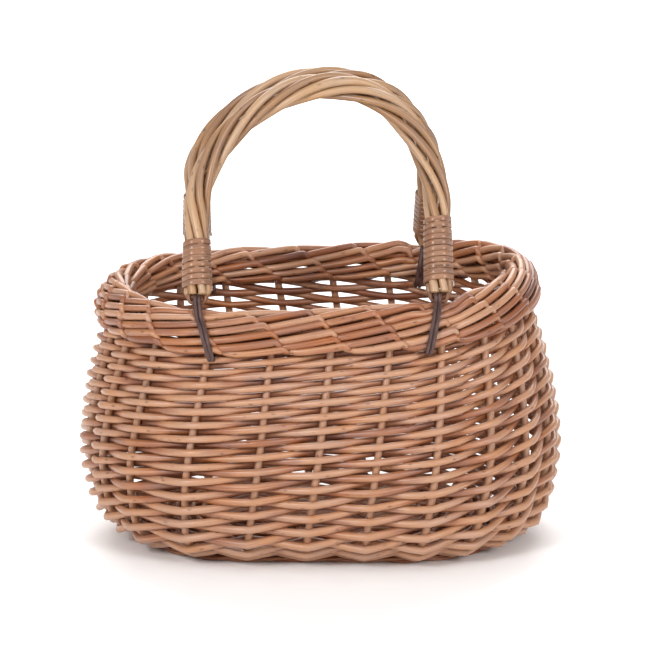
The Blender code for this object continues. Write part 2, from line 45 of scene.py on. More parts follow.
# A hand-woven basket isn't true: the rim rises to one end, the stakes lean with the weave,
# and the wall is turned a little on its foot and leans to one side
wobble = {"sideRise": 3.2 * mm, "sideWave": 2.2, "endsRise": 2.6 * mm, "endsWave": 2.4,
          "farRise": 14 * mm, "backRise": 3.6 * mm, "riseHeight": 215 * mm, "leanSteps": 0.47,
          "leanHeight": 192 * mm, "startStep": -0.03, "footTurn": math.radians(-3.0),
          "footShift": 0.5 * mm, "rimShift": -3.8 * mm, "leanTo": 200 * mm}
# How far a stake stands from its even place, in steps. They are counted from the middle of the front
stakeNudge = {2: 0.02, 3: 0.05, 18: -0.15, 19: -0.3, 20: -0.4, 21: -0.21, 22: -0.01}
nudges = [stakeNudge.get(k % oval["stakes"], 0) for k in range(oval["stakes"] + 1)]


def ovalPlace(step):
    # a point of the straight middle run and the way out from it, at a stake number
    turn = step / oval["stakes"]
    turn += oval["bunching"] * math.sin(4 * math.pi * turn) / (4 * math.pi)
    reach, run = oval["evenReach"], oval["halfRun"]
    way = (turn % 1.0) * (4 * run + 2 * math.pi * reach)
    arc = math.pi * reach
    if way <= run:
        return way, 0.0, 0.0, -1.0
    way -= run
    if way <= arc:
        return run, 0.0, math.sin(way / reach), -math.cos(way / reach)
    way -= arc
    if way <= 2 * run:
        return run - way, 0.0, 0.0, 1.0
    way -= 2 * run
    if way <= arc:
        return -run, 0.0, -math.sin(way / reach), math.cos(way / reach)
    return way - arc - run, 0.0, 0.0, -1.0


def ringPlace(step, reach, height):
    leaned = step + wobble["startStep"] + wobble["leanSteps"] * (height / wobble["leanHeight"] - 0.5)
    leaned += np.interp(step % oval["stakes"], range(oval["stakes"] + 1), nudges)
    x, y, outX, outY = ovalPlace(leaned)
    return settle(x + outX * reach, y + outY * reach, height)


def settle(x, y, height):
    # takes a true point to where the hand-made basket has it
    along = x / (oval["halfRun"] + oval["evenReach"])
    across = y / oval["evenReach"]
    lift = (wobble["sideRise"] * math.sin(wobble["sideWave"] * along)
            + wobble["endsRise"] * (1 - math.cos(wobble["endsWave"] * along))
            + wobble["farRise"] * max(0, along) ** 3 + wobble["backRise"] * across)
    up = min(1, height / wobble["leanTo"])
    turn = wobble["footTurn"] * (1 - up)
    leaned = wobble["footShift"] + (wobble["rimShift"] - wobble["footShift"]) * up
    return Vector((x * math.cos(turn) - y * math.sin(turn) + leaned,
                   x * math.sin(turn) + y * math.cos(turn),
                   height + lift * (height / wobble["riseHeight"]) ** 2))


def curveThrough(marks, steps):
    # a smooth line that passes through every mark
    line = []
    ends = [2 * marks[0] - marks[1]] + marks + [2 * marks[-1] - marks[-2]]
    for a, b, c, d in zip(ends, ends[1:], ends[2:], ends[3:]):
        for k in range(steps):
            t = k / steps
            line.append(0.5 * (2 * b + (c - a) * t + (2 * a - 5 * b + 4 * c - d) * t ** 2
                               + (3 * b - a - 3 * c + d) * t ** 3))
    return line + [marks[-1]]


def lengthAlong(spots):
    return np.concatenate(([0.0], np.cumsum(np.linalg.norm(np.diff(spots, axis=0), axis=1))))


# Sections: lines of reach and height, read by the length along them
def measuredLine(line):
    line = np.array([tuple(spot) for spot in line])
    heading = np.gradient(line, axis=0)
    heading /= np.linalg.norm(heading, axis=1)[:, None]
    marks = lengthAlong(line)
    return {"line": line, "marks": marks, "out": np.stack((heading[:, 1], -heading[:, 0]), axis=1),
            "length": marks[-1]}


def sectionPlace(section, way, outward=0.0):
    reach, height, outReach, outHeight = (
        np.interp(way, section["marks"], column)
        for column in (*section["line"].T, *section["out"].T))
    return reach + outReach * outward, height + outHeight * outward


# Wall: the reach and the height in mm that the stakes pass through, from under the base to the rim
wall = {"inner": (68, 13.2), "foot": (87.5, 8.6), "shoulder": (113, 23.5), "hip": (121.8, 48),
        "belly": (126, 82), "waist": (118.8, 130), "neck": (108, 169), "stakeEnd": (101.5, 199)}
wallSection = measuredLine(curveThrough([Vector(corner) * mm for corner in wall.values()], steps=16))
wallHeights = wallSection["line"][:, 1]
lowest = int(np.argmin(wallHeights))
footWay = float(wallSection["marks"][lowest])
neckWay = float(np.interp(wall["neck"][1] * mm, wallHeights[lowest:], wallSection["marks"][lowest:]))


# Finishes
def linearColour(code):
    # sRGB hex to the linear values that Blender takes
    parts = [int(code[k:k + 2], 16) / 255 for k in (1, 3, 5)]
    return (*[c / 12.92 if c <= 0.04045 else ((c + 0.055) / 1.055) ** 2.4 for c in parts], 1.0)


def addNode(material, kind, links=None, values=None, **settings):
    # links and values go to the node's inputs, and settings are its own properties
    node = material.node_tree.nodes.new(kind)
    for key, value in settings.items():
        setattr(node, key, value)
    for slot, value in (values or {}).items():
        node.inputs[slot].default_value = value
    for slot, source in (links or {}).items():
        material.node_tree.links.new(source, node.inputs[slot])
    return node


def fillRamp(ramp, *stops):
    # the stops run from the low end of the ramp to its high end
    elements = ramp.color_ramp.elements
    while len(elements) < len(stops):
        elements.new(0.5)
    for element, (place, code) in zip(elements, stops):
        element.position = place
        element.color = linearColour(code)


def newFinish(name):
    material = bpy.data.materials.new(name)
    material.use_nodes = True
    shader = material.node_tree.nodes["Principled BSDF"]
    shader.inputs["Metallic"].default_value = 0.0
    return material, shader


# Buff willow: rods boiled in their bark and then stripped, so the tannin leaves a smooth satin
# skin from honey to red brown, streaked along the rod, with a darker bud scar here and there.
# Lengths and widths of the pattern are in mm, and the scars across a rod are counted per mm
buff = {"pale": "#B38363", "honey": "#985D3A", "red": "#6E3A22", "scar": "#3A1A10",
        "redTo": 0.25, "honeyAt": 0.75, "paleFrom": 1.0,
        "streakLength": 70.0, "streakWidth": 1.6, "streakAmount": 0.7,
        "patchLength": 34.0, "patchWidth": 12.5, "patchAmount": 0.7, "dullToGolden": (0.86, 1.08),
        "scarSpacing": 12.0, "scarsAcross": 0.17, "scarEdge": (0.02, 0.2), "scarDepth": 0.7,
        "roughness": (0.26, 0.48), "ridgeStrength": 0.25, "ridgeHeight": 0.4 * mm, "ior": 1.58}
noiseRange = (0.3, 0.7)     # where nearly all of a noise lies


def willowFinish(name, palette):
    material, shader = newFinish(name)
    link = material.node_tree.links.new
    # each rod knows the mm along it and across it, and its tone: how pale it grew, plus painted shade and
    # painted light on some rods
    place = addNode(material, "ShaderNodeAttribute", attribute_name="rodPlace").outputs["Vector"]
    tone = addNode(material, "ShaderNodeAttribute", attribute_name="rodTone").outputs["Fac"]
    along, across = 1 / palette["streakLength"], 1 / palette["streakWidth"]
    streakPlace = addNode(material, "ShaderNodeVectorMath", {0: place}, {1: (along, across, across)},
                          operation="MULTIPLY")
    streaks = addNode(material, "ShaderNodeTexNoise", {"Vector": streakPlace.outputs[0]},
                      {"Scale": 1.0, "Detail": 4.0}).outputs["Fac"]
    along, across = 1 / palette["patchLength"], 1 / palette["patchWidth"]
    patchPlace = addNode(material, "ShaderNodeVectorMath", {0: place}, {1: (along, across, across)},
                         operation="MULTIPLY")
    patches = addNode(material, "ShaderNodeTexNoise", {"Vector": patchPlace.outputs[0]},
                      {"Scale": 1.0, "Detail": 2.0}).outputs["Fac"]
    # tone of the rod, moved by its patches and streaks
    amount = palette["patchAmount"]
    patchy = addNode(material, "ShaderNodeMath", {0: patches}, {1: amount, 2: -amount / 2},
                     operation="MULTIPLY_ADD")
    toned = addNode(material, "ShaderNodeMath", {0: patchy.outputs[0], 1: tone}, operation="ADD")
    streaky = addNode(material, "ShaderNodeMath", {0: streaks, 2: toned.outputs[0]},
                      {1: palette["streakAmount"]}, operation="MULTIPLY_ADD")
    ramp = addNode(material, "ShaderNodeValToRGB", {"Fac": streaky.outputs[0]})
    fillRamp(ramp, (palette["redTo"], palette["red"]), (palette["honeyAt"], palette["honey"]),
             (palette["paleFrom"], palette["pale"]))
    # bud scars
    along, across = 1 / palette["scarSpacing"], palette["scarsAcross"]
    scarPlace = addNode(material, "ShaderNodeVectorMath", {0: place}, {1: (along, across, across)},
                        operation="MULTIPLY")
    scars = addNode(material, "ShaderNodeTexVoronoi", {"Vector": scarPlace.outputs[0]}, {"Scale": 1.0})
    scarSpot = addNode(material, "ShaderNodeMapRange", {"Value": scars.outputs["Distance"]},
                       {"From Min": palette["scarEdge"][0], "From Max": palette["scarEdge"][1],
                        "To Min": palette["scarDepth"], "To Max": 0.0})
    # slots 0, 6 and 7 are the share and the two colours
    skin = addNode(material, "ShaderNodeMix", {0: scarSpot.outputs[0], 6: ramp.outputs["Color"]},
                   {7: linearColour(palette["scar"])}, data_type="RGBA")
    # some lengths came out golden and some dull pink
    golden = addNode(material, "ShaderNodeMapRange", {"Value": patches},
                     {"From Min": noiseRange[0], "From Max": noiseRange[1],
                      "To Min": palette["dullToGolden"][0], "To Max": palette["dullToGolden"][1]})
    final = addNode(material, "ShaderNodeHueSaturation",
                    {"Color": skin.outputs[2], "Saturation": golden.outputs[0]})
    link(final.outputs["Color"], shader.inputs["Base Color"])
    # satin skin: streaks are a little duller, and stand as fine ridges
    dull = addNode(material, "ShaderNodeMapRange", {"Value": streaks},
                   {"To Min": palette["roughness"][0], "To Max": palette["roughness"][1]})
    link(dull.outputs[0], shader.inputs["Roughness"])
    ridges = addNode(material, "ShaderNodeBump", {"Height": streaks},
                     {"Strength": palette["ridgeStrength"], "Distance": palette["ridgeHeight"]})
    link(ridges.outputs["Normal"], shader.inputs["Normal"])
    shader.inputs["IOR"].default_value = palette["ior"]
    return material


# Cut ends show the pale woody pith ring
pith = {"wood": "#D9B88C", "ring": "#A87B50", "grain": 1.5 * mm, "roughness": 0.8}


def pithFinish():
    material, shader = newFinish("willowCutEnd")
    place = addNode(material, "ShaderNodeTexCoord")
    grain = addNode(material, "ShaderNodeTexNoise", {"Vector": place.outputs["Object"]},
                    {"Scale": 1 / pith["grain"]})
    ramp = addNode(material, "ShaderNodeValToRGB", {"Fac": grain.outputs["Fac"]})
    fillRamp(ramp, (0.0, pith["ring"]), (1.0, pith["wood"]))
    material.node_tree.links.new(ramp.outputs["Color"], shader.inputs["Base Color"])
    shader.inputs["Roughness"].default_value = pith["roughness"]
    return material


# Oiled leather lace: smooth, dark, with paler rubbed patches and a fine pebble, in mm
leather = {"dark": "#3A2624", "rubbed": "#674B46", "darkTo": 0.35, "rubbedFrom": 0.75,
           "rubLength": 12.0, "rubWidth": 2.0, "pebble": 0.7, "pebbleStrength": 0.3,
           "pebbleHeight": 0.15 * mm, "roughness": 0.58}


def leatherFinish():
    material, shader = newFinish("oiledLeatherLace")
    link = material.node_tree.links.new
    place = addNode(material, "ShaderNodeAttribute", attribute_name="rodPlace").outputs["Vector"]
    along, across = 1 / leather["rubLength"], 1 / leather["rubWidth"]
    rubPlace = addNode(material, "ShaderNodeVectorMath", {0: place}, {1: (along, across, across)},
                       operation="MULTIPLY")
    rubs = addNode(material, "ShaderNodeTexNoise", {"Vector": rubPlace.outputs[0]}, {"Scale": 1.0})
    ramp = addNode(material, "ShaderNodeValToRGB", {"Fac": rubs.outputs["Fac"]})
    fillRamp(ramp, (leather["darkTo"], leather["dark"]), (leather["rubbedFrom"], leather["rubbed"]))
    link(ramp.outputs["Color"], shader.inputs["Base Color"])
    pebbles = addNode(material, "ShaderNodeTexVoronoi", {"Vector": place}, {"Scale": 1 / leather["pebble"]})
    bump = addNode(material, "ShaderNodeBump", {"Height": pebbles.outputs["Distance"]},
                   {"Strength": leather["pebbleStrength"], "Distance": leather["pebbleHeight"]})
    link(bump.outputs["Normal"], shader.inputs["Normal"])
    shader.inputs["Roughness"].default_value = leather["roughness"]
    return material


willow = willowFinish("buffWillow", buff)
handleWillow = willowFinish("paleBuffWillow", dict(buff, pale="#B28D6A", honey="#98704C", red="#784D33"))
whippingWillow = willowFinish("shavedWillow", dict(buff, pale="#9A7054", honey="#84593E", red="#653D2A",
                                                   streakLength=50.0, roughness=(0.2, 0.42),
                                                   scarSpacing=90.0))
cutEnd = pithFinish()
lace = leatherFinish()
print("finishes made")

mergeGap = 0.01 * mm
creaseAngle = math.radians(62)
patternLength = 5000        # mm of pattern that the rods are cut from


# Rods: each is a curve with a thickness, turned into a closed tube that knows its own length
def layLine(name, spots, closed=False):
    bpy.ops.curve.primitive_nurbs_path_add()
    curve = bpy.context.object
    curve.name = name
    curve.data.splines.remove(curve.data.splines[0])
    run = curve.data.splines.new("POLY")
    run.points.add(len(spots) - 1)
    run.points.foreach_set("co", np.column_stack((spots, np.ones(len(spots)))).ravel())
    run.use_cyclic_u = closed
    return curve


def layRod(name, places, thickness, finish, tone, sides=8, ring=False):
    bpy.ops.object.select_all(action="DESELECT")
    spots = np.array([tuple(place) for place in places])
    radii = np.broadcast_to(np.asarray(thickness, float) / 2, (len(places),))
    rod = layLine(name, spots, ring)
    run = rod.data.splines[0]
    run.points.foreach_set("radius", radii / mm)
    run.use_smooth = True
    rod.data.bevel_depth = 1 * mm                       # times the radius, which is in mm
    rod.data.bevel_resolution = (sides - 4) // 2
    rod.data.use_fill_caps = not ring
    bpy.ops.object.convert(target="MESH")
    noteAlongRod(rod, spots, radii, sides, ring, tone)
    rod.data.materials.clear()
    rod.data.materials.append(finish)
    rod.data.materials.append(cutEnd)
    if not ring:
        # the two caps come first in the mesh
        for face in list(rod.data.polygons)[:2 * (sides - 2)]:
            face.material_index = 1
    bpy.ops.object.mode_set(mode="EDIT")
    bpy.ops.mesh.select_all(action="SELECT")
    bpy.ops.mesh.remove_doubles(threshold=mergeGap)
    bpy.ops.object.mode_set(mode="OBJECT")
    return rod


def noteAlongRod(rod, spots, radii, sides, ring, tone):
    # the place is moved on for each rod, so that no two match
    marks = lengthAlong(spots)
    caps = 0 if ring else 2 * sides
    order = np.arange(len(rod.data.vertices)) - caps
    which, corner = order // sides, order % sides
    if not ring:
        which[:sides], which[sides:caps] = len(spots) - 1, 0
        corner[:caps] = np.arange(caps) % sides
    angle = 2 * math.pi * corner / sides
    moved = random.uniform(0, patternLength)
    noteOnMesh(rod, (marks[which] / mm + moved, radii[which] / mm * np.cos(angle) + moved * 0.1,
                     radii[which] / mm * np.sin(angle)), np.broadcast_to(tone, len(spots))[which])


def noteOnMesh(piece, place, tone):
    piece.data.attributes.new("rodPlace", "FLOAT_VECTOR", "POINT").data.foreach_set(
        "vector", np.column_stack(place).astype(np.float32).ravel())
    piece.data.attributes.new("rodTone", "FLOAT", "POINT").data.foreach_set(
        "value", tone.astype(np.float32))


def bindRods(rods, name, body, slot, *nodes):
    # joins rods into one piece that stands for these solids
    bpy.ops.object.select_all(action="DESELECT")
    for rod in rods:
        rod.select_set(True)
    bpy.context.view_layer.objects.active = rods[0]
    if len(rods) > 1:
        bpy.ops.object.join()
    piece = bpy.context.object
    piece.name = name
    bpy.ops.object.transform_apply(location=True, rotation=True, scale=True)
    bpy.ops.object.shade_smooth_by_angle(angle=creaseAngle)
    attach(piece, body)
    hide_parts(*nodes)


def waver(count, size, every):
    # slow random wandering along a rod, smooth between its marks
    marks = max(2, count // every + 2)
    values = [random.gauss(0, size) for _ in range(marks)]
    return np.interp(np.arange(count) / every, np.arange(marks), values)


random.seed(23)

# Stakes: they sway a little, in steps, and taper upwards
stake = {"thickness": 6.5 * mm, "points": 34, "sway": 0.012, "swayEvery": 9, "grown": (0.92, 1.06),
         "taper": (1.04, 0.92), "tone": (0.7, 1.0)}


def makeStakes():
    ways = np.linspace(0, wallSection["length"], stake["points"])
    taper = np.linspace(*stake["taper"], stake["points"])
    for number in range(oval["stakes"]):
        sway = waver(stake["points"], stake["sway"], stake["swayEvery"])
        places = [ringPlace(number + aside, *sectionPlace(wallSection, way))
                  for way, aside in zip(ways, sway)]
        thick = stake["thickness"] * random.uniform(*stake["grown"]) * taper
        rod = layRod("stake", places, thick, willow, random.uniform(*stake["tone"]))
        bindRods([rod], f"stakeRod{number + 1:02d}", "basket", "buff_willow", f"stake_{number + 1:02d}")
    print("stakes:", oval["stakes"])


# Wall weave: one rod starts at each stake and climbs one row at every stake it passes.
# Every other rod grew a little paler
weave = {"start": footWay + 2.8 * mm, "end": neckWay + 17.0 * mm, "passes": 34, "topPitchShare": 0.78,
         "pointsPerPass": 8, "play": 0.1 * mm, "grown": (0.95, 1.05), "uneven": 0.03,
         "tones": (0.53, 0.42), "toneSpread": 0.08, "pieces": 4, "rodsPerPiece": 6}
# Up the wall the rods lie flatter round the stakes, and are less pressed where they pass inside. Their
# inside shade is painted shade and painted light: a rod's tone is lowered where it passes inside a stake,
# and raised where it lies proud outside
shape = {"rows": (0, 3, 10, 26, 34), "fullness": (1.05, 1.04, 1.04, 1.0, 1.05),
         "insideShare": (0.76, 0.82, 0.91, 0.93, 1.05), "flatten": (0.55, 0.88, 0.98, 0.9, 0.8),
         "kink": (0.9, 0.9, 0.75, 0.55, 0.5), "insidePaintedShade": 0.24}
pressed = 1.3               # how soon a rod comes out from behind a stake
# On the front and the back the rows sink to the right, most of all low in the wall
rowFall = {"rows": (0, 6, 16, 33), "falls": (2.0 * mm, 5.5 * mm, 4.5 * mm, 1.6 * mm)}


def weaveWay(row):
    length = weave["end"] - weave["start"]
    low = 2 * length / (weave["passes"] * (1 + weave["topPitchShare"]))
    return weave["start"] + low * row * (1 - (1 - weave["topPitchShare"]) * row / (2 * weave["passes"]))


def weavePitch(row):
    return weaveWay(row + 0.5) - weaveWay(row - 0.5)


def weaveRod(start):
    count = weave["passes"] * weave["pointsPerPass"] + 1
    rows = np.arange(count) / weave["pointsPerPass"]
    grown = random.uniform(*weave["grown"]) + waver(count, weave["uneven"], 3 * weave["pointsPerPass"])
    lifts = waver(count, weave["play"], 2 * weave["pointsPerPass"])
    tone = random.gauss(weave["tones"][start % 2], weave["toneSpread"])
    places, thick, tones = [], [], []
    for row, own, lift in zip(rows, grown, lifts):
        fullness, insideShare, flatten, kink = (
            np.interp(row, shape["rows"], shape[name])
            for name in ("fullness", "insideShare", "flatten", "kink"))
        # rods kink at the stakes, and are pressed thin where they pass inside one
        straight = 2 * abs(row % 2 - 1) - 1              # 1 inside a stake, -1 outside
        side = -kink * straight - (1 - kink) * math.cos(math.pi * row)
        inside = 0.5 + 0.5 * math.cos(math.pi * row)
        width = weavePitch(row) * own * fullness * (1 - (1 - insideShare) * inside ** pressed)
        apart = (stake["thickness"] + width) / 2 * flatten
        fall = np.interp(row, rowFall["rows"], rowFall["falls"])
        fall *= math.sin(4 * math.pi * (start + row) / oval["stakes"])
        reach, height = sectionPlace(wallSection, weaveWay(row) + lift - fall, side * apart)
        places.append(ringPlace(start + row, reach, height))
        thick.append(width)
        # painted shade and painted light: the rod is coloured darker where it passes inside a stake, paler
        # where it lies proud outside
        tones.append(tone + shape["insidePaintedShade"] * side)
    return layRod("weaver", places, thick, willow, tones)


def makeWeave():
    for part in range(weave["pieces"]):
        first = part * weave["rodsPerPiece"]
        last = min(first + weave["rodsPerPiece"], oval["stakes"])
        rods = [weaveRod(start) for start in range(first, last)]
        bindRods(rods, f"weavingRods{part + 1}", "basket", "buff_willow", f"weaver_{part + 1}")
    print("weaving rods:", oval["stakes"])


# Wale: three rods, each in front of two stakes and behind the third, with the slant of a rope
wale = {"rounds": 1, "rods": 3, "thickness": 3.8 * mm, "pitch": 2.0 * mm, "pointsPerStep": 6,
        "slant": 0.8 * mm, "start": footWay - 3.5 * mm, "grown": (0.95, 1.05), "tone": (0.2, 0.7)}


def waleRod(start):
    apart = (stake["thickness"] + wale["thickness"]) / 2
    places = []
    for k in range(wale["rounds"] * oval["stakes"] * wale["pointsPerStep"] + 1):
        step = start + k / wale["pointsPerStep"]
        phase = 2 * math.pi * (step - start) / wale["rods"]
        inside = 0.5 + 0.5 * math.cos(phase)
        outward = apart * (1 - 2 * inside ** pressed)
        slant = wale["slant"] * math.sin(phase)
        way = wale["start"] + wale["pitch"] * (step / oval["stakes"]) - slant
        places.append(ringPlace(step, *sectionPlace(wallSection, way, outward)))
    thick = wale["thickness"] * random.uniform(*wale["grown"])
    return layRod("wale", places, thick, willow, random.uniform(*wale["tone"]))


def makeWale():
    rods = [waleRod(start) for start in range(wale["rods"])]
    bindRods(rods, "waleRods", "basket", "buff_willow", "wale_rod")
    print("wale rods:", wale["rods"])


# Foot: two strands twist round each other and carry the basket
foot = {"reach": 87.5 * mm, "thickness": 5.0 * mm, "strand": 2.8 * mm, "strands": 2, "twists": 12,
        "pointsPerStep": 12, "tone": (0.2, 0.6)}


def makeFoot():
    level = foot["thickness"] / 2
    swing = (foot["thickness"] - foot["strand"]) / 2
    rods = []
    for strand in range(foot["strands"]):
        places = []
        for k in range(oval["stakes"] * foot["pointsPerStep"]):
            step = k / foot["pointsPerStep"]
            phase = 2 * math.pi * (step * foot["twists"] / oval["stakes"] + strand / foot["strands"])
            x, y, outX, outY = ovalPlace(step)
            reach = foot["reach"] + swing * math.cos(phase)
            places.append(settle(x + outX * reach, y + outY * reach, level + swing * math.sin(phase)))
        rods.append(layRod("foot", places, foot["strand"], willow, random.uniform(*foot["tone"]), ring=True))
    bindRods(rods, "footRods", "basket", "buff_willow", "foot_rod")
    print("foot strands:", foot["strands"])


# Base: sticks crossed in a slath, with rods woven round them out to the foot.
# The long sticks lie in pairs, whose places are in widths from the middle, and spread at their ends
base = {"level": 15 * mm, "crossThickness": 7.0 * mm, "crossEvery": 34 * mm, "crossCount": 4,
        "crossHalf": 70 * mm, "crossTone": 0.5, "longHalf": 126 * mm, "longWidth": 5.0 * mm,
        "longThickness": 4.75 * mm, "longPairs": (0.6, 1.65), "longSpread": 0.9, "longTone": 0.4,
        "weaver": 4.2 * mm, "weaverTones": (0.3, 0.6), "innerPitch": 1.04, "innerFrom": 9.5 * mm,
        "innerTo": 48 * mm, "turnReach": 0.72, "turnAside": 0.74, "edgePitch": 1.03, "edgeTo": 83 * mm,
        "edgeTone": 0.4, "footLift": 1 * mm, "pointsPerStep": 6}


def makeSticks():
    places = [base["crossEvery"] * (k - (base["crossCount"] - 1) / 2) for k in range(base["crossCount"])]
    for number, x in enumerate(places):
        spots = [settle(x, base["crossHalf"] * share, base["level"])
                 for share in (-1, -1 / 2, -1 / 6, 0, 1 / 6, 1 / 2, 1)]
        rod = layRod("cross", spots, base["crossThickness"], willow, base["crossTone"])
        bindRods([rod], f"baseCrossStick{number + 1}", "basket", "buff_willow",
                 f"base_cross_stick_{number + 1}")
    for side, word in ((-1, "front"), (1, "back")):
        rods = []
        for pair in base["longPairs"]:
            y = side * pair * base["longWidth"]
            spots = [settle(base["longHalf"] * share, y * (1 + base["longSpread"] * abs(share) ** 3),
                            base["level"]) for share in np.linspace(-1, 1, 17)]
            rods.append(layRod("long", spots, base["longThickness"], willow, base["longTone"]))
        bindRods(rods, f"baseLongSticks{word.title()}", "basket", "buff_willow", f"base_long_stick_{word}")
    return places


def baseRound(lane, stations):
    # over one stick and under the next, out from the middle, with a mark more at each turn
    pitch = base["weaver"] * base["innerPitch"]
    lift = (base["crossThickness"] + base["weaver"]) / 2 * (1 - 2 * lane)
    rounds = (base["innerTo"] - base["innerFrom"]) / (2 * pitch)
    marks = []
    for k in range(int(rounds * len(stations)) + 1):
        kind, sign, x = stations[k % len(stations)]
        nextKind, nextSign, _ = stations[(k + 1) % len(stations)]
        reach = base["innerFrom"] + pitch * (2 * k / len(stations) + lane)
        if kind == "end":
            marks.append(Vector((sign * (oval["halfRun"] + reach), 0, base["level"] + lift)))
        else:
            marks.append(Vector((x, sign * reach, base["level"] + lift)))
        lift = -lift
        if "end" in (kind, nextKind):
            signX, signY = (sign, nextSign) if kind == "end" else (-sign, sign)
            marks.append(Vector(((oval["halfRun"] + reach * base["turnReach"]) * signX,
                                 signY * reach * base["turnAside"], base["level"])))
    return [settle(*spot) for spot in curveThrough(marks, steps=7)]


def baseEdge():
    # goes on round the stakes, from the slath down to the foot
    pitch = base["weaver"] * base["edgePitch"]
    steps = int((base["edgeTo"] - base["innerTo"]) / pitch * oval["stakes"])
    apart = (stake["thickness"] + base["weaver"]) / 2
    places = []
    for k in range(steps * base["pointsPerStep"]):
        step = k / base["pointsPerStep"]
        reach = base["innerTo"] + pitch * step / oval["stakes"] + base["weaver"] / 2
        height = np.interp(reach, [wall["inner"][0] * mm, wall["foot"][0] * mm],
                           [base["level"], wall["foot"][1] * mm + base["footLift"]])
        x, y, outX, outY = ovalPlace(step)
        places.append(settle(x + outX * reach, y + outY * reach, height + apart * math.cos(math.pi * step)))
    return places


def makeBase():
    crossPlaces = makeSticks()
    stations = [("end", 1, 0.0)] + [("side", 1, x) for x in reversed(crossPlaces)]
    stations += [("end", -1, 0.0)] + [("side", -1, x) for x in crossPlaces]
    for lane, letter in enumerate("ab"):
        rod = layRod("baseWeaver", baseRound(lane, stations), base["weaver"], willow,
                     base["weaverTones"][lane])
        bindRods([rod], f"baseWeaver{letter.upper()}", "basket", "buff_willow", f"base_weaver_{letter}")
    rod = layRod("edge", baseEdge(), base["weaver"], willow, base["edgeTone"])
    bindRods([rod], "baseEdgeRod", "basket", "buff_willow", "base_edge_weaver")
    print("base woven")


# Border: each stake end is plaited on over its neighbours in strokes, round a core of stake ends
border = {"reach": 103.3 * mm, "height": 193 * mm, "halfWidth": 10.5 * mm, "halfHeight": 15.5 * mm,
          "lean": 5 * mm, "fromDegrees": -62, "toDegrees": 225, "sectionPoints": 72, "rows": 10,
          "strokesPerStep": 1.15, "thickness": 6.0 * mm, "tipThickness": 5.3 * mm, "startPhase": 0.35,
          "insidePaintedLight": 0.16, "tone": 0.41, "toneSpread": 0.13, "strokeToneSpread": 0.1,
          "grown": (0.94, 1.05), "slip": 0.035, "rise": 0.07, "lie": 0.3, "coreThickness": 6.0 * mm,
          "coreDepth": 5.6 * mm, "coreTone": 0.3, "corePointsPerStep": 6}
# A stroke's marks: share of its length, rows it knees aside, mm outwards, and share of its thickness
strokeMarks = [(-0.2, 0.0, -4.6, 0.75), (-0.07, 0.0, -2.9, 0.92), (0.1, 0.0, -0.9, 1.0),
               (0.4, 0.0, 0.2, 1.0), (0.75, 0.0, 0.9, 1.0), (0.93, 0.0, 1.2, 0.98),
               (0.99, -0.08, 1.2, 0.9), (1.05, -0.42, 0.3, 0.74), (1.085, -0.72, -2.0, 0.62),
               (1.09, -0.85, -4.6, 0.55)]
# The rim is pressed down under the handles' feet, most at its high end, so that they turn clear of it
underFoot = {"frontLeft": 1.6 * mm, "frontRight": 3.2 * mm, "backLeft": 1.6 * mm, "backRight": 5.4 * mm,
             "flatHalf": 10 * mm, "fade": 15 * mm, "lowest": 199 * mm, "full": 209 * mm}


def borderSection():
    line = []
    for degrees in np.linspace(border["fromDegrees"], border["toDegrees"], border["sectionPoints"]):
        angle = math.radians(degrees)
        line.append((border["reach"] + border["halfWidth"] * math.cos(angle)
                     - border["lean"] * math.sin(angle),
                     border["height"] + border["halfHeight"] * math.sin(angle)))
    return measuredLine(line)


rimSection = borderSection()


def pressUnderFoot(place):
    middle = handleSides["front"]["pivot"][0]
    aside = abs(abs(place.x - middle) - handle["halfSpacing"])
    near = np.interp(aside, (underFoot["flatHalf"], underFoot["flatHalf"] + underFoot["fade"]), (1, 0))
    near = near * near * (3 - 2 * near)
    upper = np.interp(place.z, (underFoot["lowest"], underFoot["full"]), (0, 1))
    corner = ("front" if place.y < 0 else "back") + ("Left" if place.x < middle else "Right")
    return place - Vector((0, 0, underFoot[corner] * near * upper))


def borderStroke(start, first, last, tone):
    # shows from under its neighbour's end, lies proud, then knees down and in under the next row
    marks = strokeMarks
    # on the inner face the rods run down, so a stroke starts at its knee
    if first > border["rows"] / 2:
        marks = [(1 - along, -aside, out, share) for along, aside, out, share in reversed(marks)]
        # painted light: strokes on the inner face are coloured paler to offset the shade they lie in
        tone += border["insidePaintedLight"]
    line = curveThrough([Vector(mark[:3]) for mark in marks], steps=3)
    shares = np.interp(np.arange(len(line)) / 3, np.arange(len(marks)), [mark[3] for mark in marks])
    grown = random.uniform(*border["grown"])
    slip, rise = random.gauss(0, border["slip"]), random.gauss(0, border["rise"])
    lie = random.gauss(0, border["lie"])
    places, widths = [], []
    for (along, aside, out), share in zip(line, shares):
        row = first + along * (last - first)
        way = rimSection["length"] * (row + aside + rise) / border["rows"]
        outward = out + lie if out > -1 else out
        reach, height = sectionPlace(rimSection, way, outward * mm)
        places.append(pressUnderFoot(ringPlace(start + border["startPhase"] + row + slip, reach, height)))
        thick = np.interp(row, (0, border["rows"]), (border["thickness"], border["tipThickness"]))
        widths.append(thick * share * grown)
    tone += random.gauss(0, border["strokeToneSpread"])
    return layRod("border", places, widths, willow, tone, sides=10)


def borderCore():
    # stake ends that run on inside the roll, behind the strokes that show
    rings = []
    perStep = border["corePointsPerStep"]
    for row in range(1, border["rows"], 2):
        way = rimSection["length"] * row / border["rows"]
        reach, height = sectionPlace(rimSection, way, -border["coreDepth"])
        places = [ringPlace(k / perStep, reach, height) for k in range(oval["stakes"] * perStep)]
        rings.append(layRod("core", places, border["coreThickness"], willow, border["coreTone"],
                            sides=6, ring=True))
    return rings


def borderRod(start):
    tone = random.gauss(border["tone"], border["toneSpread"])
    perStep = border["strokesPerStep"]
    return [borderStroke(start, stroke / perStep, (stroke + 1) / perStep, tone)
            for stroke in range(int(border["rows"] * perStep))]


